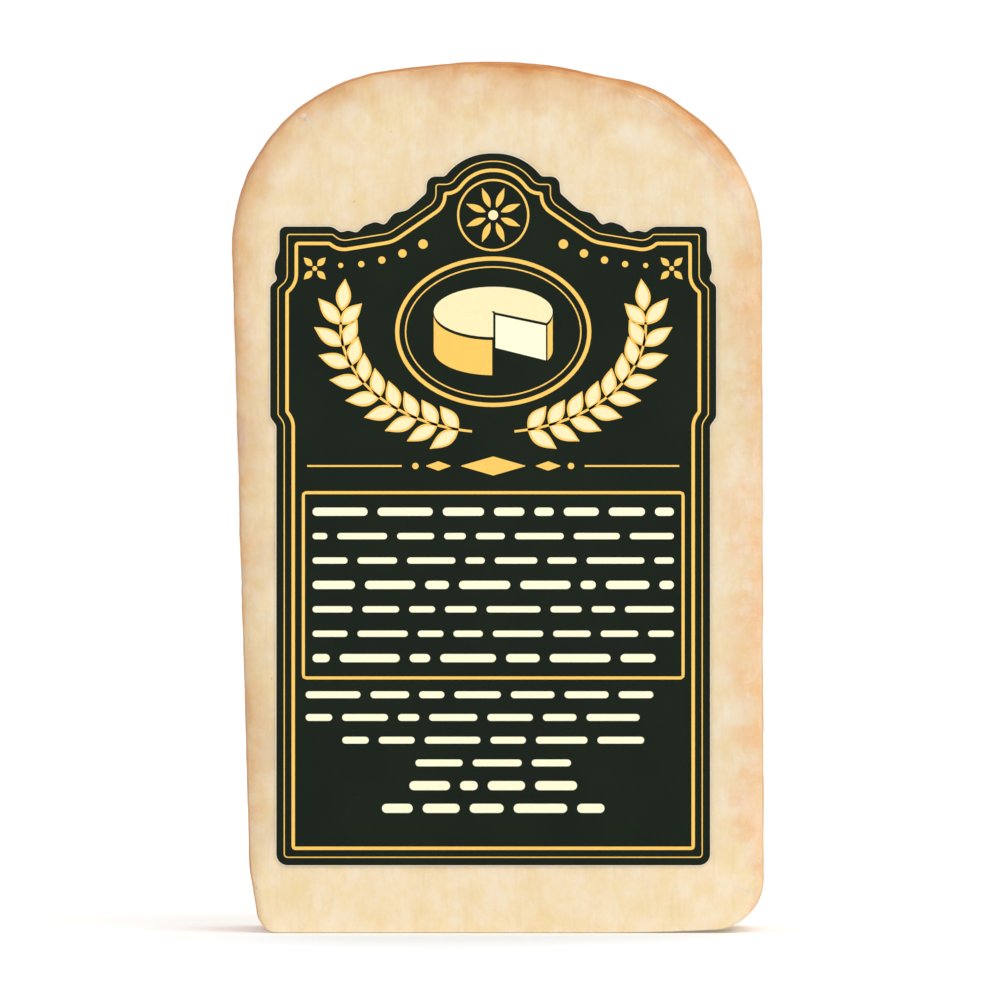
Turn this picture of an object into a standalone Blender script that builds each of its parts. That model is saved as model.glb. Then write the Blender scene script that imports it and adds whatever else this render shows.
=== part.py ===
"""A retail piece of raclette with its die-cut label, standing on its cut base.

The piece is a slab cut out of a round wheel. Its two sides are the wheel's flat faces, its domed top is the
wheel's rim, and its front, back and base are cuts. Metres, +Z up, label towards -Y, origin at the middle of
the base. X runs across the wheel's thickness.
"""

import math

import bmesh
import bpy
from mathutils import Vector

MM = 0.001

# Thickness of the slab, from its front cut to its back cut
DEPTH_AT_RIM = 32.0 * MM
DEPTH_AT_BASE = 28.0 * MM

# Outline of the slab, seen from the label's side, anticlockwise: (x, z, radius of the rounding)
HALF_WIDTH = 35.0 * MM
HEIGHT = 114.0 * MM
SLAB_CORNERS = (
    (-31.4 * MM, 0.0 * MM, 2.6 * MM),  # base, left
    (19.0 * MM, 0.0 * MM, 260.0 * MM),  # where the base starts to lift
    (35.0 * MM, 0.6 * MM, 6.4 * MM),  # base, right
    (34.7 * MM, 100.7 * MM, 21.6 * MM),  # right shoulder of the rim
    (20.4 * MM, 110.9 * MM, 18.5 * MM),  # break in the rim above it
    (1.4 * MM, 114.7 * MM, 57.4 * MM),  # crown of the rim
    (-35.6 * MM, 110.6 * MM, 23.4 * MM),  # left shoulder of the rim
    (-32.7 * MM, 8.4 * MM, 12.0 * MM),  # slight bend low on the left side
)

# Edges and sides of the slab
EDGE_RADIUS = 1.2 * MM  # rounding where a cut meets the rind
EDGE_STEPS = 4
WHEEL_RADIUS = 160.0 * MM  # of the whole wheel, which curves the rim from front to back
SIDE_BELLY = 0.5 * MM  # how far the wheel's flat faces swell between the cuts
BELLY_STEPS = 5
ARC_STEP = math.radians(7.0)

# Label: a sticker on the front cut. Right half of its outline from the foot up, measured from its own middle
LABEL_X = -0.5 * MM
LABEL_BOTTOM = 8.9 * MM
LABEL_THICKNESS = 0.3 * MM
LABEL_GAP = 0.3 * MM
LABEL_CORNERS = (
    (28.2 * MM, 0.0 * MM, 1.5 * MM),  # foot of the lower panel
    (28.2 * MM, 57.1 * MM, 0.6 * MM),  # lower panel meets the wider upper panel
    (29.0 * MM, 58.2 * MM, 1.2 * MM),
    (29.0 * MM, 75.4 * MM, 1.2 * MM),  # shoulder of the upper panel
    (27.8 * MM, 76.5 * MM, 0.6 * MM),
    (27.8 * MM, 83.0 * MM, 0.9 * MM),  # corner block
    (20.4 * MM, 83.0 * MM, 0.9 * MM),
    (19.5 * MM, 82.2 * MM, 0.8 * MM),  # dip beside the block
    (13.9 * MM, 83.1 * MM, 2.0 * MM),  # foot of the slope
    (8.5 * MM, 86.8 * MM, 0.8 * MM),  # head of the slope
    (8.5 * MM, 89.5 * MM, 1.4 * MM),  # small round shoulder
    (6.0 * MM, 89.5 * MM, 0.5 * MM),
    (3.7 * MM, 92.5 * MM, 7.5 * MM),  # round crest
)

# Colours, as linear red, green and blue
PASTE_COLOUR = (0.86, 0.70, 0.45, 1.0)
LABEL_COLOUR = (0.014, 0.021, 0.014, 1.0)

# The whole object is centred front to back, label included
FRONT_Y = (LABEL_THICKNESS + LABEL_GAP - DEPTH_AT_RIM) / 2


def clear_scene():
    """Removes whatever the scene holds."""
    for thing in list(bpy.data.objects):
        bpy.data.objects.remove(thing, do_unlink=True)


def make_material(name, colour, roughness):
    """A plain Principled material."""
    material = bpy.data.materials.new(name)
    material.use_nodes = True
    shader = material.node_tree.nodes["Principled BSDF"]
    shader.inputs["Base Color"].default_value = colour
    shader.inputs["Roughness"].default_value = roughness
    shader.inputs["Metallic"].default_value = 0.0
    return material


def arc_in_corner(corner, before, after):
    """The points of the arc that rounds one corner, tangent to the lines towards both of its neighbours."""
    middle = Vector(corner[:2])
    to_before = (Vector(before[:2]) - middle).normalized()
    to_after = (Vector(after[:2]) - middle).normalized()
    half_angle = to_before.angle(to_after) / 2
    radius = corner[2]
    centre = middle + (to_before + to_after).normalized() * (radius / math.sin(half_angle))
    start = middle + to_before * (radius / math.tan(half_angle)) - centre
    turn = start.angle_signed(middle + to_after * (radius / math.tan(half_angle)) - centre)
    steps = max(2, math.ceil(abs(turn) / ARC_STEP))
    points = []
    for step in range(steps + 1):
        angle = -turn * step / steps
        turned = Vector((
            start.x * math.cos(angle) - start.y * math.sin(angle),
            start.x * math.sin(angle) + start.y * math.cos(angle),
        ))
        points.append(centre + turned)
    return points


def rounded_outline(corners):
    """A closed outline of straight runs and arcs, as (x, z) points in the order of the corners."""
    count = len(corners)
    points = []
    for index in range(count):
        points += arc_in_corner(corners[index], corners[index - 1], corners[(index + 1) % count])
    return points


def slab_depth(z):
    """Thickness of the slab at height z. It narrows evenly from the rim to the base."""
    return DEPTH_AT_BASE + (DEPTH_AT_RIM - DEPTH_AT_BASE) * z / HEIGHT


def slab_rings():
    """(drawn in, nearness to a cut, share of depth, distance behind that share) of each ring, front to back.

    A quarter circle rounds the front edge, a shallow bow crosses the rind, and a second quarter circle
    rounds the back edge."""
    rings = []
    for step in range(EDGE_STEPS):
        angle = math.pi / 2 * step / EDGE_STEPS
        rings.append((EDGE_RADIUS * (1 - math.sin(angle)), 1.0, 0.0, EDGE_RADIUS * (1 - math.cos(angle))))
    for step in range(BELLY_STEPS + 1):
        share = step / BELLY_STEPS
        rings.append((0.0, (2 * share - 1) ** 2, share, EDGE_RADIUS * (1 - 2 * share)))
    for drawn, near_cut, _, behind in reversed(rings[:EDGE_STEPS]):
        rings.append((drawn, near_cut, 1.0, -behind))
    return rings


def ring_points(outline, drawn, near_cut, share, behind):
    """One ring: the outline sunk by the bow of the rind, then drawn in by the rounding of the edge."""
    side_bow = SIDE_BELLY * near_cut
    rim_bow = (DEPTH_AT_RIM / 2) ** 2 / (2 * WHEEL_RADIUS) * near_cut
    points = []
    for x, z in outline:
        ring_x = x * (1 - (side_bow + drawn) / HALF_WIDTH)
        bowed_z = z * (1 - rim_bow / HEIGHT)
        ring_z = HEIGHT / 2 + (bowed_z - HEIGHT / 2) * (1 - drawn / (HEIGHT / 2))
        points.append((ring_x, FRONT_Y + share * slab_depth(ring_z) + behind, ring_z))
    return points


def add_loop(mesh, points):
    """Adds a closed loop of edges through the points, and returns its edges."""
    corners = [mesh.verts.new(point) for point in points]
    return [mesh.edges.new((a, b)) for a, b in zip(corners, corners[1:] + corners[:1])]


def object_from(mesh, name, material):
    """Turns a finished bmesh into a named object with smooth sides and crisp cuts."""
    bmesh.ops.recalc_face_normals(mesh, faces=mesh.faces)
    if mesh.calc_volume(signed=True) < 0:
        bmesh.ops.reverse_faces(mesh, faces=mesh.faces)
    data = bpy.data.meshes.new(name)
    mesh.to_mesh(data)
    mesh.free()
    data.materials.append(material)
    data.shade_smooth()
    data.set_sharp_from_angle(angle=math.radians(35))
    made = bpy.data.objects.new(name, data)
    bpy.context.scene.collection.objects.link(made)
    return made


def make_cheese():
    """The slab: rings bridged from front to back, with both cuts closed."""
    outline = rounded_outline(SLAB_CORNERS)
    mesh = bmesh.new()
    loops = [add_loop(mesh, ring_points(outline, *ring)) for ring in slab_rings()]
    for front_loop, back_loop in zip(loops, loops[1:]):
        bmesh.ops.bridge_loops(mesh, edges=front_loop + back_loop)
    for loop in (loops[0], loops[-1]):
        bmesh.ops.contextual_create(mesh, geom=loop)
    return object_from(mesh, "cheese", make_material("paste", PASTE_COLOUR, 0.5))


def make_label():
    """The sticker: its die-cut outline as a face, extruded to the sticker's thickness."""
    left_half = [(-x, z, radius) for x, z, radius in reversed(LABEL_CORNERS)]
    mesh = bmesh.new()
    back = FRONT_Y - LABEL_GAP
    outline = rounded_outline(list(LABEL_CORNERS) + left_half)
    corners = [mesh.verts.new((LABEL_X + x, back, LABEL_BOTTOM + z)) for x, z in outline]
    face = mesh.faces.new(corners)
    grown = bmesh.ops.extrude_face_region(mesh, geom=[face])
    moved = [item for item in grown["geom"] if isinstance(item, bmesh.types.BMVert)]
    bmesh.ops.translate(mesh, verts=moved, vec=(0.0, -LABEL_THICKNESS, 0.0))
    return object_from(mesh, "label", make_material("label", LABEL_COLOUR, 0.35))


def main():
    """Builds the slab and its label."""
    clear_scene()
    make_cheese()
    make_label()


main()
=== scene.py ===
"""Looks of a retail portion of raclette in skin-tight clear film, with a die-cut label on its cut face.

Shapes are worked out in millimetres and turned into metres when their mesh is made. X runs across the
wheel's thickness, Y from the label backwards, and Z up from the cut base.
"""

import math

import bmesh
import bpy
import numpy as np
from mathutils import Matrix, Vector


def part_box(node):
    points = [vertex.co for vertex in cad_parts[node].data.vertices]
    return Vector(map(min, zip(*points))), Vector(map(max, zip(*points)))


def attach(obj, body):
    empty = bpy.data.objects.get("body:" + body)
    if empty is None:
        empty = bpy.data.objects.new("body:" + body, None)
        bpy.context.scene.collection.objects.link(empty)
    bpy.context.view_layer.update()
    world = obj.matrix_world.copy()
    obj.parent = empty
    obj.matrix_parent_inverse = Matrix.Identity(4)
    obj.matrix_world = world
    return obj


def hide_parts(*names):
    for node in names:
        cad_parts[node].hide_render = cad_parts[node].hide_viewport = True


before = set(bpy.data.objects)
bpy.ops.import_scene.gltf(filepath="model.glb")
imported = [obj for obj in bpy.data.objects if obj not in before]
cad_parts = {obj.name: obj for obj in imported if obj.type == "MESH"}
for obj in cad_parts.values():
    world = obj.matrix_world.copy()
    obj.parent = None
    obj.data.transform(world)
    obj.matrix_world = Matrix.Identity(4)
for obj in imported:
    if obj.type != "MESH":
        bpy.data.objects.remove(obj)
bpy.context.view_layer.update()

MM = 0.001

# The photograph's frame
PHOTO_SIDE = 1000.0  # pixels
PIXEL = 70.0 / 532.0  # mm of the object that one pixel covers
MIDDLE_PIXEL = 498.0  # column of the object's middle
CAMERA_DISTANCE = 1500.0
CAMERA_HEIGHT = 56.4
SENSOR = 36.0

# The slab, as it is cut: outline corners (x, z, radius) seen from the label's side, anticlockwise
HALF_WIDTH = 35.0
HEIGHT = 114.0
DEPTH_AT_RIM = 32.0
DEPTH_AT_BASE = 28.0
EDGE_RADIUS = 1.2
BASE_EDGE = 0.12  # share of that radius along the base
WHEEL_RADIUS = 160.0
SIDE_BELLY = 0.5
SLAB_CORNERS = (
    (-31.4, 0.0, 2.6),
    (19.0, 0.0, 260.0),
    (35.0, 0.6, 6.4),
    (34.7, 100.7, 21.6),
    (20.4, 110.9, 18.5),
    (1.4, 114.7, 57.4),
    (-35.6, 110.6, 23.4),
    (-32.7, 8.4, 12.0),
)
FRONT_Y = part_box("cheese")[0][1] / MM  # the front cut

# The label: right halves of outlines (x, z, radius) from the foot up, measured from its own middle
LABEL_SHIFT = (-0.12, -0.09)  # from the solid to where the photograph has it
LABEL_SCALE = 1.0028
LABEL_X = (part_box("label")[0][0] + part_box("label")[1][0]) / 2 / MM + LABEL_SHIFT[0]
LABEL_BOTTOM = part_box("label")[0][2] / MM + LABEL_SHIFT[1]
LABEL_CORNERS = (  # its main form, which the border lines follow
    (28.2, 0.0, 1.5),
    (28.2, 57.1, 0.6),
    (29.0, 58.2, 1.2),
    (29.0, 75.4, 1.2),
    (27.8, 76.5, 0.6),
    (27.8, 83.0, 0.9),
    (20.4, 83.0, 0.9),
    (19.5, 82.2, 0.8),
    (13.9, 83.1, 2.0),
    (8.5, 86.8, 0.8),
    (8.5, 89.5, 1.4),
    (6.0, 89.5, 0.5),
    (3.7, 92.5, 7.5),
)
LABEL_CUT = (  # its cut edge, with the scallops of its head
    (28.2, 0.0, 1.5),
    (28.2, 57.1, 0.6),
    (29.0, 58.2, 1.2),
    (29.0, 75.3, 1.0),
    (28.0, 76.1, 0.6),
    (28.45, 77.0, 1.2),
    (28.35, 78.4, 2.0),
    (27.8, 79.6, 2.0),
    (27.8, 83.0, 0.9),
    (20.9, 83.0, 1.6),
    (19.8, 82.25, 0.5),
    (18.8, 82.5, 0.8),
    (17.7, 82.2, 0.5),
    (16.8, 83.1, 1.3),
    (15.3, 83.65, 1.3),
    (14.1, 83.2, 0.5),
    (12.9, 84.75, 1.4),
    (11.2, 85.1, 1.6),
    (8.75, 87.3, 0.6),
    (8.6, 89.5, 1.2),
    (6.3, 89.5, 0.5),
    (3.7, 92.5, 7.5),
)
LABEL_GAP = 0.035  # from the front cut to the sheet
LABEL_THICKNESS = 0.07
LABEL_BACK = FRONT_Y - LABEL_GAP
LABEL_FRONT = LABEL_BACK - LABEL_THICKNESS
PRINT_LIFT = 0.025
PRINT_SCALE = 0.99  # the ornament is drawn for a label 93.4 mm tall
GOLD_BORDERS = ((1.08, 0.075), (2.26, 0.225))  # (inwards from the label's outline, half width)

# The film
FILM_LIFT = 0.03  # from the cheese to the film
FILM_SLACK = 0.03
RELIEF_FOLLOWED = 0.9  # share of the cheese's relief that shows in the film
SHOULDER_CREASE = (  # (x, distance behind the front cut, z)
    (16.0, 0, 110.0),
    (20.2, 0, 108.0),
    (25.3, 0, 103.8),
    (29.2, 0, 99.2),
    (31.6, 0, 94.4),
    (33.0, 0, 88.5),
)
FRONT_CREASES = (  # (path, height, width)
    (SHOULDER_CREASE, 0.16, 0.2),
    (((-26.4, 0, 108.0), (-23.6, 0, 104.2)), 0.16, 0.2),
    (((33.6, 1, 90.5), (34.8, 2, 86.5), (34.3, 2, 83.0)), 0.25, 0.4),
    (((34.4, 2, 88.0), (33.2, 1, 80.5)), 0.18, 0.3),
    (((30.9, 0, 6.4), (33.4, 0, 5.2), (34.6, 3, 4.6)), 0.18, 0.3),
)
RIND_CREASES = 22
BACK_CREASES = 12
CREASE_SEED = 11
FULL_FOLD = 0.15  # height of a crease that shines fully

# Colours as they show, red, green and blue out of 255
IVORY = (241, 218, 183)
RIM_TONES = (  # (mm inwards from the wheel's rim, colour)
    (0.0, (172, 90, 34)),
    (0.6, (199, 119, 49)),
    (1.4, (223, 170, 114)),
    (3.0, (235, 200, 159)),
    (7.0, IVORY),
)
LEFT_TONES = (
    (0.0, (196, 158, 130)),
    (0.3, (214, 182, 151)),
    (0.8, (227, 197, 157)),
    (2.2, (232, 207, 171)),
    (5.5, IVORY),
)
RIGHT_TONES = (
    (0.0, (250, 210, 166)),
    (0.6, (244, 206, 163)),
    (2.5, (241, 211, 175)),
    (5.5, IVORY),
)
TONE_REACH = 8.0
CRUST = (  # (bearing round the cut from its middle, in degrees, and share of the rim's brown there)
    (52, 0.0),
    (56, 0.5),
    (60, 0.7),
    (66, 0.85),
    (88, 1.0),
    (100, 0.75),
    (119, 0.45),
    (143, 0.45),
    (156, 0.15),
    (180, 0.0),
)
BROWN_DEPTH = ((66, 1.0), (72, 0.78), (84, 0.78), (92, 1.0))  # (bearing, share of the distance that counts)
PASTE_PALE = (236, 222, 197)
PASTE_YELLOW = (233, 210, 164)
PASTE_PEACH = (230, 201, 163)
PASTE_STREAK = (222, 190, 148)
PASTE_FLECK = (244, 234, 212)
PASTE_PIT = (204, 164, 122)
PASTE_DRY = (240, 225, 206)
PASTE_BLUSH = (236, 194, 144)
RIND_BROWN = (188, 114, 54)
RIND_TAN = (204, 138, 76)
RIND_MOTTLES = (  # (size in mm, detail and roughness of the noise, its low and high end, full share, colour)
    (2.8, 6.0, 0.68, 0.5, 0.7, 0.5, (168, 96, 46)),
    (1.1, 3.0, 0.5, 0.6, 0.75, 0.4, (226, 182, 130)),
    (0.45, 3.0, 0.6, 0.52, 0.7, 0.35, (166, 98, 48)),
    (16.0, 5.0, 0.7, 0.5, 0.68, 0.4, (218, 172, 118)),
)
LEFT_FLANK = (220, 182, 142)
RIGHT_FLANK = (240, 204, 162)
LABEL_DARK = (16, 26, 16)
GOLD = (252, 203, 100)
CREAM = (250, 236, 187)
PALE_CREAM = (253, 251, 216)
PAPER = (240, 224, 198)

# Factors that a colour is multiplied by, red, green, blue and alpha
UNCHANGED = (1.0, 1.0, 1.0, 1.0)
# The next factor is painted light: it makes the paste lighter near the base, as light off the floor would.
PAINTED_FLOOR_LIGHT = (1.09, 1.08, 1.07, 1.0)
WARMER = (0.94, 0.925, 0.87, 1.0)
MORE_ORANGE = (0.97, 0.76, 0.52, 1.0)

# Gloss of the film: facing, added at grazing angles, and added on a full crease
FILM_GLOSS = 0.02
GRAZING_GLOSS = 0.02
CREASE_GLOSS = 0.3

# Light
WHITE = (1.0, 1.0, 1.0, 1.0)
SKY = 0.52
SKY_IN_GLOSS = 1.2
SKY_SEEN = 1.05
FLOOR_WHITE = 0.93
FLOOR_GLOW = 0.12  # keeps the floor as white as the paper behind it


def linear(colour, strength=1.0):
    """A colour out of 255 as the linear red, green, blue and alpha that shaders take."""
    part = np.asarray(colour, float) / 255
    part = np.where(part <= 0.04045, part / 12.92, ((part + 0.055) / 1.055) ** 2.4) * strength
    return (float(part[0]), float(part[1]), float(part[2]), 1.0)


def rise(value, start, end):
    """0 up to start and 1 from end on, even between them. Where end is the smaller, it rises downwards."""
    return np.clip((value - start) / (end - start), 0, 1)


# Outlines


def directions(place):
    """Unit vectors from each corner of a closed polygon to the next, and the sides' lengths."""
    ahead = np.roll(place, -1, axis=0) - place
    length = np.linalg.norm(ahead, axis=1)
    return ahead / length[:, None], length


def left_of(way):
    """Each direction turned a quarter to the left."""
    return np.stack([-way[:, 1], way[:, 0]], axis=1)


def turns(ahead):
    """Signed angle that a closed polygon turns by at each corner, to the left positive."""
    behind = np.roll(ahead, 1, axis=0)
    across = behind[:, 0] * ahead[:, 1] - behind[:, 1] * ahead[:, 0]
    return np.arctan2(across, (behind * ahead).sum(axis=1))


def rounded(corners, steps=14):
    """Closed outline of a polygon with rounded corners.

    Each corner becomes an arc of its own radius, tangent to both sides: it starts radius x tan(half the turn)
    before the corner and sweeps through the turn. Arcs that would meet on a short side shrink to fit it."""
    corners = np.asarray(corners, float)
    place = corners[:, :2]
    ahead, length = directions(place)
    behind = np.roll(ahead, 1, axis=0)
    turn = turns(ahead)
    slope = np.maximum(np.tan(np.abs(turn) / 2), 1e-9)
    reach = corners[:, 2] * slope
    room = np.minimum(1.0, 0.98 * length / np.maximum(reach + np.roll(reach, -1), 1e-9))
    reach = reach * np.minimum(room, np.roll(room, 1))
    start = place - behind * reach[:, None]
    spoke = -left_of(behind) * (np.sign(turn) * reach / slope)[:, None]
    sweep = np.linspace(0, 1, steps)[None, :] * turn[:, None]
    cos = np.cos(sweep)
    sin = np.sin(sweep)
    centre = start - spoke
    x = centre[:, None, 0] + spoke[:, None, 0] * cos - spoke[:, None, 1] * sin
    z = centre[:, None, 1] + spoke[:, None, 0] * sin + spoke[:, None, 1] * cos
    return np.stack([x, z], axis=-1).reshape(-1, 2)


def inset(corners, by):
    """The rounded polygon with every side moved inwards by the same distance.

    A corner slides along its bisector. Its radius shrinks where it points out and grows where it
    points in."""
    corners = np.asarray(corners, float)
    ahead, _ = directions(corners[:, :2])
    side = left_of(ahead)
    before = np.roll(side, 1, axis=0)
    slide = by * (side + before) / (1 + (side * before).sum(axis=1))[:, None]
    radius = np.maximum(corners[:, 2] - by * np.sign(turns(ahead)), 0.25)
    return np.column_stack([corners[:, :2] + slide, radius])


def evenly(outline, count):
    """The same closed outline with its points spaced evenly along it."""
    loop = np.vstack([outline, outline[:1]])
    run = np.concatenate([[0.0], np.cumsum(np.linalg.norm(np.diff(loop, axis=0), axis=1))])
    at = np.linspace(0, run[-1], count, endpoint=False)
    return np.stack([np.interp(at, run, loop[:, 0]), np.interp(at, run, loop[:, 1])], axis=1)


def outward(outline):
    """Outward direction at each point of an anticlockwise outline: its tangent turned a quarter right."""
    tangent = np.roll(outline, -2, axis=0) - np.roll(outline, 2, axis=0)
    tangent = tangent / np.linalg.norm(tangent, axis=1, keepdims=True)
    return -left_of(tangent)


def ripple(points, size, seed, waves=28):
    """Smooth unevenness of about -1 to 1: the sum of plane waves in seeded directions.

    Each wave is about size mm long."""
    draw = np.random.default_rng(seed)
    way = draw.normal(size=(waves, points.shape[-1]))
    way = way / np.linalg.norm(way, axis=1, keepdims=True)
    wave = way * (2 * np.pi / size) * draw.uniform(0.6, 1.5, (waves, 1))
    phase = draw.uniform(0, 2 * np.pi, waves)
    return np.cos(points @ wave.T + phase).sum(axis=-1) / math.sqrt(waves) / 1.4


# Meshes


def new_piece(name, points, faces, material):
    """A smooth mesh object at the origin from points in mm, riding with the cheese."""
    mesh = bpy.data.meshes.new(name)
    mesh.from_pydata((points * MM).tolist(), [], faces)
    mesh.materials.append(material)
    mesh.shade_smooth()
    mesh.update()
    made = bpy.data.objects.new(name, mesh)
    bpy.context.scene.collection.objects.link(made)
    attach(made, "root")
    return made


def closed_skin(grid):
    """Points and faces of a grid of closed rings, with a fan to the ring's middle at both ends."""
    rows, columns = grid.shape[:2]
    poles = np.stack([grid[0].mean(axis=0), grid[-1].mean(axis=0)])
    points = np.vstack([grid.reshape(-1, 3), poles])
    index = np.arange(rows * columns).reshape(rows, columns)
    beside = np.roll(index, -1, axis=1)
    quads = np.stack([index[:-1], index[1:], beside[1:], beside[:-1]], axis=-1).reshape(-1, 4)
    first = np.full(columns, rows * columns)
    fans = np.vstack([
        np.stack([first, index[0], beside[0]], axis=-1),
        np.stack([first + 1, beside[-1], index[-1]], axis=-1),
    ])
    return points, quads.tolist() + fans.tolist()


def normals(grid):
    """Outward normals of such a grid: the cross product of the steps across and along its rings."""
    along = np.roll(grid, -1, axis=1) - np.roll(grid, 1, axis=1)
    across = np.gradient(grid, axis=0)
    up = np.cross(across, along)
    return up / np.maximum(np.linalg.norm(up, axis=-1, keepdims=True), 1e-9)


def store(piece, name, values):
    """Keeps one number for each point of the mesh, for its material to read."""
    attribute = piece.data.attributes.new(name, "FLOAT", "POINT")
    attribute.data.foreach_set("value", np.ascontiguousarray(values, dtype=np.float32))


# The slab of cheese and the film round it


def cut_rings(count):
    """Rings of one cut from its middle outwards, ever closer together.

    Their size is 1 - (1 - share) to the power 1.8."""
    cut = np.zeros((count, 5))
    cut[:, 0] = 1 - (1 - np.linspace(0.008, 1, count, endpoint=False)) ** 1.8
    cut[:, 1] = EDGE_RADIUS
    cut[:, 2] = 1
    return cut


def slab_rings(front_rings, edge_rings, rind_rings, back_rings):
    """Rings of the slab from the middle of the front cut, over the rind, to the middle of the back cut.

    Columns: size on the cut (0 to 1), drawn in by the rounded edge, nearness to a cut, share of the depth,
    distance behind that share. The edge is a quarter circle and the rind bows out by the square of its
    distance from the middle."""
    angle = np.linspace(0, np.pi / 2, edge_rings, endpoint=False)
    edge = np.zeros((edge_rings, 5))
    edge[:, 0] = 1
    edge[:, 1] = EDGE_RADIUS * (1 - np.sin(angle))
    edge[:, 2] = 1
    edge[:, 4] = EDGE_RADIUS * (1 - np.cos(angle))
    share = np.linspace(0, 1, rind_rings)
    rind = np.zeros((rind_rings, 5))
    rind[:, 0] = 1
    rind[:, 2] = (2 * share - 1) ** 2
    rind[:, 3] = share
    rind[:, 4] = EDGE_RADIUS * (1 - 2 * share)
    back = np.vstack([cut_rings(back_rings), edge])[::-1] * (1, 1, 1, 1, -1)
    back[:, 3] = 1
    return np.vstack([cut_rings(front_rings), edge, rind, back])


def slab_grid(columns, rings):
    """Places of the slab's skin: the outline for every ring, bowed, drawn in and shrunk, at its ring's depth.

    The edge is crisper along the base, which is cut as well."""
    outline = evenly(rounded(SLAB_CORNERS), columns)
    size, drawn, near_cut, share, behind = (rings[:, k][:, None] for k in range(5))
    drawn = drawn * np.clip(outline[None, :, 1] / 4, BASE_EDGE, 1)
    side_bow = SIDE_BELLY * near_cut
    rim_bow = (DEPTH_AT_RIM / 2) ** 2 / (2 * WHEEL_RADIUS) * near_cut
    x = outline[None, :, 0] * (1 - (side_bow + drawn) / HALF_WIDTH)
    bowed = outline[None, :, 1] * (1 - rim_bow / HEIGHT)
    z = HEIGHT / 2 + (bowed - HEIGHT / 2) * (1 - drawn / (HEIGHT / 2))
    x = size * x
    z = HEIGHT / 2 + size * (z - HEIGHT / 2)
    depth = DEPTH_AT_BASE + (DEPTH_AT_RIM - DEPTH_AT_BASE) * z / HEIGHT
    y = FRONT_Y + share * depth + behind
    return np.stack([x, y, z], axis=-1), outline


def distance_in(rings, outline, grid):
    """Distance in mm from each point of the cuts to the outline, straight in from the silhouette."""
    edge = outline[None, :, :]
    flat = grid[..., [0, 2]]
    direct = (edge - flat) * outward(outline)[None, :, :]
    return np.maximum(direct.sum(axis=-1), 0) * (rings[:, 1] > 0)[:, None]


def slab_relief(grid, rings, outline):
    """How far each point sinks in mm, and how far it lies past the rounded edge, on the rind.

    The cuts have faint waves and the rind has coarser dimples, all sums of plane waves."""
    flat = grid.reshape(-1, 3)
    shape = grid.shape[:2]
    cut = np.broadcast_to((rings[:, 1] / EDGE_RADIUS)[:, None], shape)
    base = np.broadcast_to(rise(outward(outline)[:, 1], -0.6, -0.9), shape)
    past_edge = np.minimum(grid[..., 1] - grid[:1, :, 1], grid[-1:, :, 1] - grid[..., 1]) - EDGE_RADIUS / 2
    past_edge = np.clip(past_edge, 0, None) * (1 - cut) * (1 - base)
    rind = rise(past_edge, 0, 2)
    waves = 0.03 * (ripple(flat * (1, 1, 0.55), size=16.0, seed=3) - 1)
    fine_waves = 0.012 * (ripple(flat * (1, 1, 0.8), size=3.2, seed=4) - 1)
    dimples = 0.06 * (ripple(flat, size=8.0, seed=5) - 1)
    fine_dimples = 0.03 * (ripple(flat, size=3.0, seed=6) - 1)
    on_cut = (waves + fine_waves).reshape(shape)
    on_rind = (dimples + fine_dimples).reshape(shape)
    relief = on_cut * (1 - rind) + on_rind * rind
    return relief * rise(grid[..., 2], 0, 0.6), past_edge


def crust_and_depth(x, z):
    """Share of the rim's brown round the cut, and of the distance inwards that counts for its tone."""
    bearing = np.degrees(np.arctan2(z - HEIGHT / 2, x))
    return np.interp(bearing, *zip(*CRUST)), np.interp(bearing, *zip(*BROWN_DEPTH))


def orange_strip(x, z, inside):
    """Where the edge shows orange: a strip over the right shoulder and one at the left heel."""
    shoulder = rise(x, 14, 28) * rise(z, 101, 101.5)
    heel = rise(x, -29, -31) * rise(z, 13, 9) * rise(z, 0.8, 1.8)
    width = 0.5 + 1.5 * shoulder
    strip = shoulder * rise(inside - width, 0, -0.35)
    return np.maximum(strip, heel * rise(inside, 0.6, 0.3))


def warm_zone(x, z, inside):
    """Where the cuts are a little warmer: high along the right side, and less so low along the left side."""
    high_right = rise(x, 24, 32) * rise(z, 60, 72) * rise(z, 98, 90)
    low_left = 0.4 * rise(x, -24, -32) * rise(z, 46, 34)
    return np.maximum(high_right, low_left) * rise(inside, 12, 8)


def make_cheese():
    """The slab, with what its material reads at each point.

    The tones of the far cut's edge start 1 mm inwards, so that no dark line runs round it."""
    rings = slab_rings(front_rings=60, edge_rings=14, rind_rings=44, back_rings=44)
    grid, outline = slab_grid(480, rings)
    relief, past_edge = slab_relief(grid, rings, outline)
    points, faces = closed_skin(grid + normals(grid) * relief[..., None])
    cheese = new_piece("cheese_block", points, faces, cheese_material())
    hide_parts("cheese")
    way = outward(outline)
    x, z = outline.T
    inside = distance_in(rings, outline, grid)
    crust, counts = crust_and_depth(x, z)
    far_side = rise(grid[..., 1] - FRONT_Y, 14, 22)
    near_base = 1 + 1.5 * rise(grid[..., 2], 14, 6)
    numbers = {
        "crust": crust,
        "depth_in": counts * np.maximum(inside, far_side) * near_base,
        "warm": warm_zone(x, z, inside),
        "past_edge": past_edge,
        # nearness to the base, where the paste gets painted light, as if lit by light off the floor
        "low": rise(grid[..., 2], 22, 6),
        "strip": orange_strip(x, z, inside),
        "faces_x": way[:, 0],
        "faces_z": way[:, 1],
    }
    for name, values in numbers.items():
        at_poles = (30.0, 30.0) if name == "depth_in" else (0.0, 0.0)
        store(cheese, name, np.concatenate([np.broadcast_to(values, inside.shape).ravel(), at_poles]))


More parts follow.
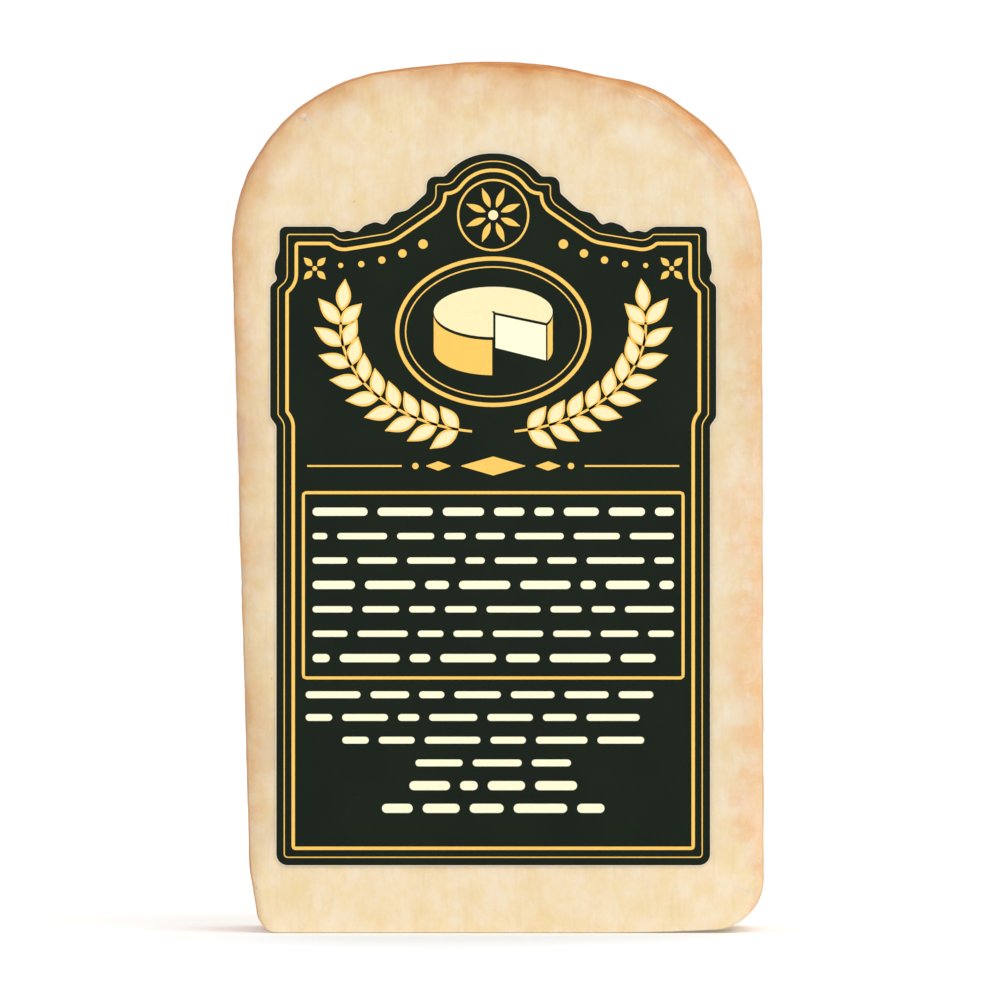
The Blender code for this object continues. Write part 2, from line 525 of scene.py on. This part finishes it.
def crease(points, path, height, width):
    """A ridge along a bent line: its height falls off as a bell across it, and as a sine towards its ends."""
    path = np.asarray(path, float)
    run = np.concatenate([[0.0], np.cumsum(np.linalg.norm(np.diff(path, axis=0), axis=1))])
    nearest = np.full(points.shape[:-1], np.inf)
    share = np.zeros(points.shape[:-1])
    for start, end, before, after in zip(path, path[1:], run, run[1:]):
        along = np.clip((points - start) @ (end - start) / (after - before) ** 2, 0, 1)
        gap = np.linalg.norm(points - start - along[..., None] * (end - start), axis=-1)
        share = np.where(gap < nearest, (before + along * (after - before)) / run[-1], share)
        nearest = np.minimum(gap, nearest)
    return height * np.sin(np.pi * (0.1 + 0.8 * share)) * np.exp(-((nearest / width) ** 2))


def film_creases(grid):
    """All the film's creases: those on the front, and seeded ones over the rind and the back's edge."""
    total = 0.0
    for path, height, width in FRONT_CREASES:
        total = total + crease(grid, np.array(path) + (0, FRONT_Y, 0), height, width)
    draw = np.random.default_rng(CREASE_SEED)
    columns = grid.shape[1]
    behind = (grid[..., 1] - FRONT_Y).mean(axis=1)
    rind = np.where((behind > 2) & (behind < behind.max() - 2))[0]
    for _ in range(RIND_CREASES):
        row = draw.choice(rind)
        column = draw.integers(0, columns)
        other = (column + draw.integers(-30, 30)) % columns
        far = min(max(row + draw.integers(-30, 30), rind[0]), rind[-1])
        height = draw.uniform(0.08, 0.22)
        total = total + crease(grid, (grid[row, column], grid[far, other]), height, 0.8)
    at_edge = -33
    on_cut = -22
    for _ in range(BACK_CREASES):
        column = draw.integers(0, columns)
        other = (column + draw.integers(-14, 14)) % columns
        height = draw.uniform(0.08, 0.18)
        total = total + crease(grid, (grid[at_edge, column], grid[on_cut, other]), height, 0.4)
    return total


def make_film():
    """Clear film: the slab's skin lifted off it, with creases where it is pulled tight over the edges."""
    rings = slab_rings(front_rings=46, edge_rings=12, rind_rings=60, back_rings=32)
    grid, outline = slab_grid(560, rings)
    relief, past_edge = slab_relief(grid, rings, outline)
    uneven = ripple(grid.reshape(-1, 3), size=9.0, seed=21).reshape(relief.shape)
    slack = FILM_SLACK * (1 + uneven) * rise(past_edge, 0, 3)
    creases = film_creases(grid)
    lift = RELIEF_FOLLOWED * relief + FILM_LIFT + slack + creases
    lift = lift * rise(grid[..., 2], 0, 0.8)
    points, faces = closed_skin(grid + normals(grid) * lift[..., None])
    film = new_piece("film", points, faces, film_material())
    store(film, "fold", np.concatenate([rise(creases, 0, FULL_FOLD).ravel() ** 1.5, (0, 0)]))
    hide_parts("cheese")


# The label's print: thin tiles on the label's face


def tile(grid, ring=False):
    """A thin closed tile over a flat grid of (x, z): raised front, sunk back and a wall round its edge."""
    rows, columns = grid.shape[:2]
    index = np.arange(rows * columns).reshape(rows, columns)
    under = rows * columns
    if ring:
        index = np.vstack([index, index[:1]])
        rims = [index[:, 0], index[:, -1]]
    else:
        rims = [np.concatenate([index[0], index[1:, -1], index[-1, -2::-1], index[-2::-1, 0]])]
    quads = np.stack([index[:-1, :-1], index[1:, :-1], index[1:, 1:], index[:-1, 1:]], axis=-1).reshape(-1, 4)
    walls = [np.stack([rim[:-1], rim[1:], rim[1:] + under, rim[:-1] + under], axis=-1) for rim in rims]
    flat = grid.reshape(-1, 2)
    front = np.column_stack([flat[:, 0], np.full(under, LABEL_FRONT - PRINT_LIFT), flat[:, 1]])
    back = front + (0, 2 * PRINT_LIFT, 0)
    return np.vstack([front, back]), np.vstack([quads, quads + under, *walls])


def ribbon(path, half_width, ring=False):
    """A strip along a path of (x, z), as wide on both sides of it as half_width says at each point."""
    path = np.asarray(path, float)
    if ring:
        tangent = np.roll(path, -1, axis=0) - np.roll(path, 1, axis=0)
    else:
        tangent = np.gradient(path, axis=0)
    tangent = tangent / np.maximum(np.linalg.norm(tangent, axis=1, keepdims=True), 1e-9)
    side = left_of(tangent) * np.broadcast_to(half_width, len(path))[:, None]
    return tile(np.stack([path - side, path + side], axis=1), ring)


def line(start, end, half_width):
    """A straight strip with square ends."""
    return ribbon(np.linspace(start, end, 2), half_width)


def oval(centre, radius_x, radius_z, half_width, steps=72):
    """A strip along an ellipse."""
    angle = np.linspace(0, 2 * np.pi, steps, endpoint=False)
    path = np.stack([centre[0] + radius_x * np.cos(angle), centre[1] + radius_z * np.sin(angle)], axis=1)
    return ribbon(path, half_width, ring=True)


def disc(centre, radius, steps=20):
    """A filled circle: rings of radius from next to nothing to full, closed round."""
    angle = np.linspace(0, 2 * np.pi, steps, endpoint=False)[:, None]
    far = np.array([0.02, 1.0])[None, :] * radius
    x = centre[0] + far * np.cos(angle)
    z = centre[1] + far * np.sin(angle)
    return tile(np.stack([x, z], axis=-1), ring=True)


def leaf(start, way, length, half_width, steps=12):
    """A leaf from its stalk: its width follows a sine, fullest a little before the middle."""
    share = np.linspace(0, 1, steps)
    path = np.asarray(start) + np.outer(share * length, (math.cos(way), math.sin(way)))
    return ribbon(path, np.maximum(half_width * np.sin(np.pi * share**0.85), 0.04))


def lozenge(centre, half_length, half_width):
    """A lozenge that lies along X."""
    path = np.asarray(centre) + np.outer((-1, 0, 1), (half_length, 0))
    return ribbon(path, (0.04, half_width, 0.04))


def bar(start_x, end_x, z, half_height):
    """A bar with round ends: its height follows a half circle over each end."""
    angle = np.linspace(0.25, np.pi / 2, 5)
    end = half_height * (1 - np.cos(angle))
    tall = half_height * np.sin(angle)
    x = np.concatenate([start_x + end, (end_x - end)[::-1]])
    path = np.stack([x, np.full(len(x), z)], axis=1)
    return ribbon(path, np.concatenate([tall, tall[::-1]]))


def bars(draw, left, right, z, half_height):
    """A row of bars of seeded lengths with even gaps, spread to fill the row from left to right."""
    gap = 1.3
    pitch = 6.2
    lengths = draw.uniform(2.2, 8.4, max(2, round((right - left) / pitch)))
    lengths = lengths * (right - left - gap * (len(lengths) - 1)) / lengths.sum()
    starts = left + np.concatenate([[0.0], np.cumsum(lengths + gap)[:-1]])
    return [bar(a, a + b, z, half_height) for a, b in zip(starts, lengths)]


def sector(centre, radius_x, radius_z, start, end, steps=40):
    """Part of a filled ellipse between two angles in degrees."""
    angle = np.radians(np.linspace(start, end, steps))[:, None]
    far = np.array([0.03, 1.0])[None, :]
    x = centre[0] + far * radius_x * np.cos(angle)
    z = centre[1] + far * radius_z * np.sin(angle)
    return tile(np.stack([x, z], axis=-1))


def drop(centre, radius_x, radius_z, start, end, top, bottom, steps=30):
    """The side of an upright round block: part of an ellipse carried down from top to bottom."""
    angle = np.radians(np.linspace(start, end, steps))[:, None]
    fall = np.array([top, bottom])[None, :]
    x = centre[0] + radius_x * np.cos(angle) + 0 * fall
    z = centre[1] + radius_z * np.sin(angle) - fall
    return tile(np.stack([x, z], axis=-1))


def mirrored(tiles):
    """The same tiles and their mirror images left to right."""
    return tiles + [(points * (-1, 1, 1), faces) for points, faces in tiles]


def both_halves(corners):
    """Corners of the label's whole outline: its right half and the mirror image."""
    right = np.asarray(corners)
    left = right[::-1] * (-1, 1, 1)
    return np.vstack([right, left])


def along_label(corners, inwards, half_width):
    """A line that follows an outline of the label at a distance inwards from it."""
    outline = inset(both_halves(corners) / PRINT_SCALE, inwards)
    return ribbon(evenly(rounded(outline), 1400), half_width, ring=True)


def crest():
    """A rosette of petals in a ring at the label's crest: (gold, cream)."""
    middle = np.array((0.0, 85.3))
    petals = 8
    gold = [oval(middle, 4.6, 4.6, 0.14)]
    for step in range(petals):
        way = 2 * math.pi * (step + 0.5) / petals
        root = middle + 1.1 * np.array((math.cos(way), math.sin(way)))
        gold.append(leaf(root, way, 2.7, 0.43))
    return gold, [disc(middle, 0.65)]


def wheel_medallion():
    """A plain wheel of cheese with a wedge taken out, in an oval frame: (gold, cream, pale)."""
    middle = (0.0, 70.0)
    gold = [oval(middle, 12.6, 9.6, 0.27), oval(middle, 11.5, 8.5, 0.09)]
    top = np.array((0.0, 72.6))
    wide = 7.8
    deep = 3.3
    tall = 5.0
    wedge = math.radians(-26)
    cream = [sector(top, wide, deep, -26, 270)]
    gold.append(drop(top, wide, deep, 180, 269, 0.4, tall))
    gold.append(drop(top, wide, deep, 336, 360, 0.4, tall))
    far = np.array((wide * math.cos(wedge), deep * math.sin(wedge)))
    near = np.array((0.3, -0.4))
    face = np.array([[near, near - (0, tall - 0.7)], [far - (0.1, 0.35), far - (0.1, tall - 0.1)]])
    return gold, cream, [tile(top + face)]


def sprigs():
    """A leafy sprig on either side of the medallion: (gold, cream).

    Its stem is part of an ellipse, and pairs of leaves stand on it at even distances along it."""
    middle = np.array((0.0, 70.6))
    reach = np.array((20.0, 13.8))
    angle = np.radians(np.linspace(-82, 4, 200))
    stem = middle + reach * np.stack([np.cos(angle), np.sin(angle)], axis=1)
    run = np.concatenate([[0.0], np.cumsum(np.linalg.norm(np.diff(stem, axis=0), axis=1))])
    gold = [ribbon(stem[::4], 0.16)]
    cream = []
    for at in np.linspace(1.8, run[-1] - 0.6, 9):
        turn = np.interp(at, run, angle)
        root = middle + reach * (math.cos(turn), math.sin(turn))
        way = math.atan2(reach[1] * math.cos(turn), -reach[0] * math.sin(turn))
        for lean, length in ((-0.75, 4.5), (0.75, 3.9)):
            gold.append(leaf(root, way + lean, length, 1.0))
            inner = root + 0.4 * np.array((math.cos(way + lean), math.sin(way + lean)))
            cream.append(raise_tile(leaf(inner, way + lean, length - 0.8, 0.72)))
    tip = math.atan2(reach[1] * math.cos(angle[-1]), -reach[0] * math.sin(angle[-1]))
    start = stem[-1] + 1.2 * np.array((math.cos(tip), math.sin(tip)))
    gold.append(leaf(start, tip, 4.2, 1.0))
    cream.append(raise_tile(leaf(start + 0.4 * np.array((math.cos(tip), math.sin(tip))), tip, 3.4, 0.72)))
    return mirrored(gold), mirrored(cream)


def raise_tile(part):
    """The tile one more layer of print up, so that it covers what is under it."""
    points, faces = part
    return points - (0, PRINT_LIFT, 0), faces


def small_ornaments():
    """Gold flowers in the corner blocks, beads down the slopes and a divider over the text's frame."""
    corner = np.array((23.4, 78.3))
    divider = 52.4
    beads = 5
    gold = []
    for step in range(4):
        way = math.pi / 2 * step + math.pi / 4
        gold.append(leaf(corner + 0.5 * np.array((math.cos(way), math.sin(way))), way, 1.5, 0.42))
    gold.append(disc(corner, 0.32))
    for step in range(beads):
        z = 78.7 + 2.8 * (1 - step / (beads - 1)) ** 2
        gold.append(disc((9.2 + 2.7 * step, z), 0.62 - 0.07 * step))
    gold.append(lozenge((7.2, divider), 1.6, 0.62))
    gold.append(disc((10.2, divider), 0.42))
    gold.append(line((12.0, divider), (24.4, divider), 0.12))
    gold = mirrored(gold)
    gold.append(lozenge((0.0, divider), 4.2, 1.25))
    return gold


def text_rows():
    """Rows of plain bars where small print would be: some in a gold frame and some under it: (gold, pale).

    The rows under the frame are given by their ends. The last two, and every third one above, are bolder."""
    draw = np.random.default_rng(5)
    half_width = 24.9
    foot = 24.6
    head = 48.9
    frame_corners = (
        (half_width, foot, 0.3),
        (half_width, head, 0.3),
        (-half_width, head, 0.3),
        (-half_width, foot, 0.3),
    )
    gold = [ribbon(evenly(rounded(frame_corners, 5), 400), 0.2, ring=True)]
    pale = []
    for row in range(7):
        height = 0.54 if row % 3 == 0 else 0.41
        pale += bars(draw, -23.7, 23.7 - (2.4 if row == 6 else 0.0), 46.4 - 3.2 * row, height)
    rows = ((-24.6, 21.0), (-24.6, 19.2), (-19.8, 19.8), (-10.2, 10.2), (-11.0, 11.0), (-14.6, 14.6))
    for row, (left, right) in enumerate(rows):
        pale += bars(draw, left, right, 22.4 - 2.98 * row, 0.6 if row > 3 else 0.45)
    return gold, pale


def print_piece(name, tiles, colour):
    """All tiles of one ink joined in one mesh, at the label's place."""
    points = np.vstack([part[0] for part in tiles])
    starts = np.concatenate([[0], np.cumsum([len(part[0]) for part in tiles])[:-1]])
    faces = np.vstack([part[1] + start for part, start in zip(tiles, starts)])
    scale = PRINT_SCALE * LABEL_SCALE
    points = points * (scale, 1, scale) + (LABEL_X, 0, LABEL_BOTTOM)
    made = new_piece(name, points, faces.tolist(), ink_material(name, colour))
    turned = bmesh.new()
    turned.from_mesh(made.data)
    bmesh.ops.recalc_face_normals(turned, faces=turned.faces)
    turned.to_mesh(made.data)
    turned.free()
    made.data.set_sharp_from_angle(angle=math.radians(30))


def make_label():
    """The sticker: its outline shrunk to a point on both faces, with a slightly rounded edge between them."""
    outline = evenly(rounded(both_halves(LABEL_CUT)), 1600)
    middle = np.array((0.0, 45.0))
    size = np.array((0.02, 0.5, 0.9, 0.985, 1.0, 1.0, 0.985, 0.5, 0.02))
    depth = LABEL_FRONT + LABEL_THICKNESS * np.array((0, 0, 0, 0, 0.18, 1, 1, 1, 1))
    flat = (middle + size[:, None, None] * (outline - middle)[None]) * LABEL_SCALE
    y = np.broadcast_to(depth[:, None], flat.shape[:2])
    grid = np.stack([flat[..., 0] + LABEL_X, y, flat[..., 1] + LABEL_BOTTOM], axis=-1)
    points, faces = closed_skin(grid)
    label = new_piece("label_sheet", points, faces, label_material())
    label.data.set_sharp_from_angle(angle=math.radians(30))
    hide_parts("label")


def make_print():
    """The paper that shows along the cut edge, and the print in its three inks."""
    crest_gold, crest_cream = crest()
    wheel_gold, wheel_cream, wheel_pale = wheel_medallion()
    sprig_gold, sprig_cream = sprigs()
    text_gold, text_pale = text_rows()
    print_piece("paper_edge", [along_label(LABEL_CUT, -0.02, 0.06)], PAPER)
    borders = [along_label(LABEL_CORNERS, inwards, half_width) for inwards, half_width in GOLD_BORDERS]
    gold = borders + crest_gold + wheel_gold + sprig_gold + small_ornaments() + text_gold
    print_piece("print_gold", gold, GOLD)
    print_piece("print_cream", crest_cream + wheel_cream + sprig_cream, CREAM)
    print_piece("print_pale", wheel_pale + text_pale, PALE_CREAM)


# Materials


class Shading:
    """A node material under construction, with short calls that add a node and return its output."""

    def __init__(self, name):
        """Starts from an empty Principled material."""
        self.material = bpy.data.materials.new(name)
        self.material.use_nodes = True
        self.tree = self.material.node_tree
        self.surface = self.tree.nodes["Principled BSDF"]

    def put(self, socket, value):
        """Links an output to the socket, or writes a plain value on it."""
        if isinstance(value, bpy.types.NodeSocket):
            self.tree.links.new(value, socket)
        else:
            socket.default_value = value

    def node(self, kind, **settings):
        """A new node with its settings."""
        made = self.tree.nodes.new(kind)
        for name, value in settings.items():
            setattr(made, name, value)
        return made

    def stored(self, name):
        """A number kept on the mesh."""
        return self.node("ShaderNodeAttribute", attribute_name=name).outputs["Fac"]

    def place(self, stretch):
        """Object coordinates in mm, divided by stretch along each axis."""
        coordinates = self.node("ShaderNodeTexCoord")
        scaled = self.node("ShaderNodeMapping")
        self.put(scaled.inputs["Vector"], coordinates.outputs["Object"])
        scaled.inputs["Scale"].default_value = tuple(1000 / part for part in stretch)
        return scaled.outputs["Vector"]

    def noise(self, size, stretch=(1.0, 1.0, 1.0), detail=3.0, rough=0.5):
        """Noise with features of about size mm, drawn out by stretch."""
        made = self.node("ShaderNodeTexNoise")
        self.put(made.inputs["Vector"], self.place(stretch))
        made.inputs["Scale"].default_value = 1 / size
        made.inputs["Detail"].default_value = detail
        made.inputs["Roughness"].default_value = rough
        return made.outputs["Fac"]

    def math(self, operation, first, second=0.0):
        """One sum on two numbers."""
        made = self.node("ShaderNodeMath", operation=operation)
        self.put(made.inputs[0], first)
        self.put(made.inputs[1], second)
        return made.outputs[0]

    def span(self, value, low, high, to_low=0.0, to_high=1.0):
        """Value carried smoothly from low..high to to_low..to_high, and held beyond them."""
        made = self.node("ShaderNodeMapRange", interpolation_type="SMOOTHSTEP")
        self.put(made.inputs["Value"], value)
        made.inputs["From Min"].default_value = low
        made.inputs["From Max"].default_value = high
        made.inputs["To Min"].default_value = to_low
        made.inputs["To Max"].default_value = to_high
        return made.outputs["Result"]

    def mix(self, share, first, second, blend="MIX"):
        """Two colours mixed by share."""
        made = self.node("ShaderNodeMix", data_type="RGBA", blend_type=blend)
        self.put(made.inputs[0], share)
        self.put(made.inputs[6], first)
        self.put(made.inputs[7], second)
        return made.outputs[2]

    def ramp(self, value, stops):
        """Colour by value from a list of (position, colour)."""
        made = self.node("ShaderNodeValToRGB")
        self.put(made.inputs["Fac"], value)
        band = made.color_ramp
        band.elements[0].position = stops[0][0]
        band.elements[0].color = stops[0][1]
        band.elements[1].position = stops[-1][0]
        band.elements[1].color = stops[-1][1]
        for position, colour in stops[1:-1]:
            band.elements.new(position).color = colour
        return made.outputs["Color"]

    def bump(self, height, distance, strength=1.0, under=None):
        """Normal of a surface raised by height times distance in mm."""
        made = self.node("ShaderNodeBump")
        self.put(made.inputs["Height"], height)
        made.inputs["Distance"].default_value = distance * MM
        self.put(made.inputs["Strength"], strength)
        if under is not None:
            self.put(made.inputs["Normal"], under)
        return made.outputs["Normal"]

    def finish(self, **inputs):
        """Sets the surface's inputs, named in words with _ for spaces, and returns the material."""
        for name, value in inputs.items():
            self.put(self.surface.inputs[name.replace("_", " ")], value)
        return self.material


def tint(colour):
    """A colour as a share of the ivory paste, to multiply it by."""
    part = np.array(linear(colour)) / np.array(linear(IVORY))
    return (float(part[0]), float(part[1]), float(part[2]), 1.0)


def tones(shading, depth, table):
    """Tint by distance from the rind."""
    return shading.ramp(depth, [(at / TONE_REACH, tint(colour)) for at, colour in table])


def edge_tint(s, depth_in, crust, faces_x):
    """Tint of the paste by distance inwards: brown under the rim, paler at both sides, none at the base."""
    wobble = s.span(s.noise(5.0, detail=4.0, rough=0.6), 0.3, 0.7, 0.65, 1.4)
    wobble = s.math("MULTIPLY", wobble, s.span(s.noise(15.0, detail=2.0), 0.35, 0.65, 0.7, 1.35))
    depth = s.math("MULTIPLY", s.math("MULTIPLY", depth_in, wobble), 1 / TONE_REACH)
    side = s.mix(s.span(faces_x, -0.3, 0.3), tones(s, depth, LEFT_TONES), tones(s, depth, RIGHT_TONES))
    edge = s.mix(crust, side, tones(s, depth, RIM_TONES))
    return s.mix(s.span(s.stored("faces_z"), -0.5, -0.9), edge, UNCHANGED)


def paste_colour(s, depth_in, faces_x):
    """The paste: pale and yellow clouds, peach drifts, streaks, flecks and pits, dry, blushed sides, and
    painted light that makes it lighter towards the base, as light off the floor would.
    """
    low = s.stored("low")
    cloud = s.noise(3.0, (1.0, 1.0, 1.25), 6.0, 0.7)
    drift = s.noise(7.0, (1.0, 1.0, 1.4), 4.0, 0.62)
    paste = s.mix(s.span(cloud, 0.3, 0.7), linear(PASTE_PALE), linear(PASTE_YELLOW))
    peach = s.math("MULTIPLY", s.span(drift, 0.45, 0.7, 0.0, 0.45), s.span(low, 0.0, 1.0, 1.0, 0.0))
    paste = s.mix(peach, paste, linear(PASTE_PEACH))
    streak = s.noise(0.7, (1.0, 1.0, 6.0), 3.0)
    paste = s.mix(s.span(streak, 0.5, 0.7, 0.0, 0.16), paste, linear(PASTE_STREAK))
    fleck = s.noise(0.6, detail=2.0)
    paste = s.mix(s.span(fleck, 0.64, 0.78, 0.0, 0.35), paste, linear(PASTE_FLECK))
    pit = s.noise(1.3, detail=1.0)
    paste = s.mix(s.span(pit, 0.235, 0.2, 0.0, 0.5), paste, linear(PASTE_PIT))
    # painted light: the paste lighter towards the base, as light off the floor would make it
    paste = s.mix(low, paste, s.mix(1.0, paste, PAINTED_FLOOR_LIGHT, "MULTIPLY"))
    reach = s.math("DIVIDE", depth_in, s.span(faces_x, -0.3, 0.3, 0.5, 1.0))
    near_side = s.math("MULTIPLY", s.span(reach, 8.0, 1.0), s.span(s.math("ABSOLUTE", faces_x), 0.3, 0.8))
    dry = s.noise(2.2, (1.0, 1.0, 1.6), 4.0, 0.7)
    dry = s.math("MULTIPLY", s.span(dry, 0.5, 0.66, 0.0, 0.7), near_side)
    paste = s.mix(dry, paste, linear(PASTE_DRY))
    blush = s.noise(2.6, (1.6, 1.6, 1.0), 5.0, 0.68)
    blush = s.math("MULTIPLY", s.span(blush, 0.46, 0.66, 0.0, 0.7), near_side)
    return s.mix(blush, paste, linear(PASTE_BLUSH))


def rind_colour(s, crust, faces_x):
    """The rind: brown and tan, mottled at several sizes, and paler on the wheel's flat faces."""
    broad = s.span(s.noise(11.0, detail=4.0, rough=0.6), 0.36, 0.64)
    rind = s.mix(broad, linear(RIND_BROWN), linear(RIND_TAN))
    for size, detail, rough, low, high, share, colour in RIND_MOTTLES:
        mottle = s.span(s.noise(size, detail=detail, rough=rough), low, high, 0.0, share)
        rind = s.mix(mottle, rind, linear(colour))
    flank = s.mix(s.span(faces_x, -0.3, 0.3), linear(LEFT_FLANK), linear(RIGHT_FLANK))
    pale = s.math("MULTIPLY", s.span(crust, 0.0, 0.9, 1.0, 0.0), s.span(faces_x, -0.3, 0.3, 0.42, 0.62))
    return s.mix(pale, rind, flank)


def cheese_material():
    """Ivory paste that turns orange-brown towards its mottled rind."""
    s = Shading("raclette")
    depth_in = s.stored("depth_in")
    faces_x = s.stored("faces_x")
    crust = s.stored("crust")
    paste = paste_colour(s, depth_in, faces_x)
    colour = s.mix(1.0, paste, edge_tint(s, depth_in, crust, faces_x), "MULTIPLY")
    warm = s.math("MULTIPLY", s.stored("warm"), s.span(s.noise(6.0, detail=3.0), 0.35, 0.65, 0.6, 1.3))
    colour = s.mix(warm, colour, s.mix(1.0, colour, WARMER, "MULTIPLY"))
    orange = s.mix(1.0, colour, MORE_ORANGE, "MULTIPLY")
    colour = s.mix(s.math("MULTIPLY", s.stored("strip"), 0.6), colour, orange)
    past_edge = s.math("SUBTRACT", s.stored("past_edge"), s.span(crust, 0.0, 1.0, 0.7, 0.0))
    colour = s.mix(s.span(past_edge, 0.0, 1.6, 0.0, 0.95), colour, rind_colour(s, crust, faces_x))
    pore = s.noise(0.6, detail=4.0, rough=0.6)
    fine = s.bump(pore, 0.1, 0.4)
    wrinkle = s.noise(1.8, (1.0, 2.2, 1.0), 4.0, 0.6)
    coarse = s.bump(wrinkle, 0.22, s.span(past_edge, 0.0, 2.0, 0.08, 0.8), fine)
    return s.finish(
        Base_Color=colour,
        Roughness=s.span(pore, 0.3, 0.7, 0.46, 0.6),
        Normal=coarse,
        Specular_IOR_Level=0.0,
        Subsurface_Weight=0.25,
        Subsurface_Radius=(1.0, 0.55, 0.28),
        Subsurface_Scale=0.0009,
    )


def film_material():
    """Clear film: see-through, with a gloss that grows towards grazing angles and along its creases."""
    s = Shading("clear_film")
    nodes = s.tree.nodes
    nodes.remove(s.surface)
    crinkle = s.bump(s.noise(2.2, detail=4.0, rough=0.6), 0.06, 0.5)
    gloss = s.node("ShaderNodeBsdfGlossy")
    gloss.inputs["Roughness"].default_value = 0.12
    s.put(gloss.inputs["Normal"], crinkle)
    clear = s.node("ShaderNodeBsdfTransparent")
    facing = s.node("ShaderNodeLayerWeight")
    facing.inputs["Blend"].default_value = 0.5
    s.put(facing.inputs["Normal"], crinkle)
    grazing = s.math("POWER", facing.outputs["Facing"], 5.0)
    rate = s.math("ADD", s.math("MULTIPLY", grazing, GRAZING_GLOSS), FILM_GLOSS)
    rate = s.math("ADD", rate, s.math("MULTIPLY", s.stored("fold"), CREASE_GLOSS))
    both = s.node("ShaderNodeMixShader")
    s.put(both.inputs[0], rate)
    s.put(both.inputs[1], clear.outputs[0])
    s.put(both.inputs[2], gloss.outputs[0])
    s.put(nodes["Material Output"].inputs["Surface"], both.outputs[0])
    return s.material


def label_material():
    """Dark coated paper with a faint unevenness."""
    s = Shading("dark_label")
    fibre = s.noise(0.5, detail=4.0, rough=0.6)
    cloud = s.noise(9.0, detail=2.0)
    colour = s.mix(s.span(cloud, 0.3, 0.7), linear(LABEL_DARK, 0.9), linear(LABEL_DARK, 1.1))
    return s.finish(
        Base_Color=colour,
        Roughness=s.span(fibre, 0.3, 0.7, 0.46, 0.58),
        Normal=s.bump(fibre, 0.02, 0.3),
        Specular_IOR_Level=0.1,
    )


def ink_material(name, colour):
    """Flat ink with the paper's faint unevenness."""
    s = Shading(name)
    fibre = s.noise(0.5, detail=4.0, rough=0.6)
    return s.finish(
        Base_Color=s.mix(s.span(fibre, 0.3, 0.7), linear(colour, 0.96), linear(colour, 1.0)),
        Roughness=s.span(fibre, 0.3, 0.7, 0.44, 0.56),
        Normal=s.bump(fibre, 0.02, 0.3),
        Specular_IOR_Level=0.12,
    )


# Stage, light and camera


def make_floor():
    """A wide white floor."""
    mesh = bpy.data.meshes.new("floor")
    half = 8.0
    corners = [(-half, -half, 0), (half, -half, 0), (half, half, 0), (-half, half, 0)]
    mesh.from_pydata(corners, [], [(0, 1, 2, 3)])
    s = Shading("floor_white")
    white = (FLOOR_WHITE, FLOOR_WHITE, FLOOR_WHITE, 1.0)
    mesh.materials.append(s.finish(
        Base_Color=white,
        Roughness=0.9,
        Specular_IOR_Level=0.0,
        Emission_Color=WHITE,
        Emission_Strength=FLOOR_GLOW,
    ))
    floor = bpy.data.objects.new("floor", mesh)
    bpy.context.scene.collection.objects.link(floor)


def make_sky():
    """White all round: bright to the eye and in reflections, and dimmer as a light."""
    world = bpy.data.worlds.new("sky")
    world.use_nodes = True
    tree = world.node_tree
    seen = tree.nodes["Background"]
    seen.inputs["Strength"].default_value = SKY
    seen.inputs["Color"].default_value = WHITE
    path = tree.nodes.new("ShaderNodeLightPath")
    for ray, strength in (("Is Glossy Ray", SKY_IN_GLOSS), ("Is Camera Ray", SKY_SEEN)):
        brighter = tree.nodes.new("ShaderNodeBackground")
        brighter.inputs["Strength"].default_value = strength
        brighter.inputs["Color"].default_value = WHITE
        both = tree.nodes.new("ShaderNodeMixShader")
        tree.links.new(path.outputs[ray], both.inputs[0])
        tree.links.new(seen.outputs[0], both.inputs[1])
        tree.links.new(brighter.outputs[0], both.inputs[2])
        seen = both
    tree.links.new(seen.outputs[0], tree.nodes["World Output"].inputs["Surface"])
    bpy.context.scene.world = world


def make_sun(name, bearing, height, strength, softness):
    """A soft distant light. Bearing is degrees to the right of the camera, height degrees above the floor."""
    lamp = bpy.data.lights.new(name, "SUN")
    lamp.energy = strength * math.pi
    lamp.angle = math.radians(softness)
    made = bpy.data.objects.new(name, lamp)
    made.rotation_euler = (math.radians(90 - height), 0, math.radians(bearing))
    bpy.context.scene.collection.objects.link(made)


def make_camera():
    """A level camera that frames the object as the photograph does."""
    aside = (PHOTO_SIDE / 2 - MIDDLE_PIXEL) * PIXEL
    lens = bpy.data.cameras.new("camera")
    lens.sensor_width = SENSOR
    lens.lens = SENSOR * CAMERA_DISTANCE / (PHOTO_SIDE * PIXEL)
    lens.clip_end = 50.0
    camera = bpy.data.objects.new("camera", lens)
    camera.location = (aside * MM, -CAMERA_DISTANCE * MM, CAMERA_HEIGHT * MM)
    camera.rotation_euler = (math.pi / 2, 0, 0)
    bpy.context.scene.collection.objects.link(camera)
    bpy.context.scene.camera = camera


def main():
    """Builds every piece, the stage and the light."""
    make_camera()
    make_cheese()
    make_film()
    make_label()
    make_print()
    make_floor()
    make_sky()
    make_sun("key", bearing=35, height=50, strength=0.36, softness=50)
    make_sun("fill", bearing=-45, height=35, strength=0.15, softness=60)
    make_sun("back", bearing=165, height=50, strength=0.3, softness=60)
    bpy.context.scene.view_settings.view_transform = "Standard"


main()
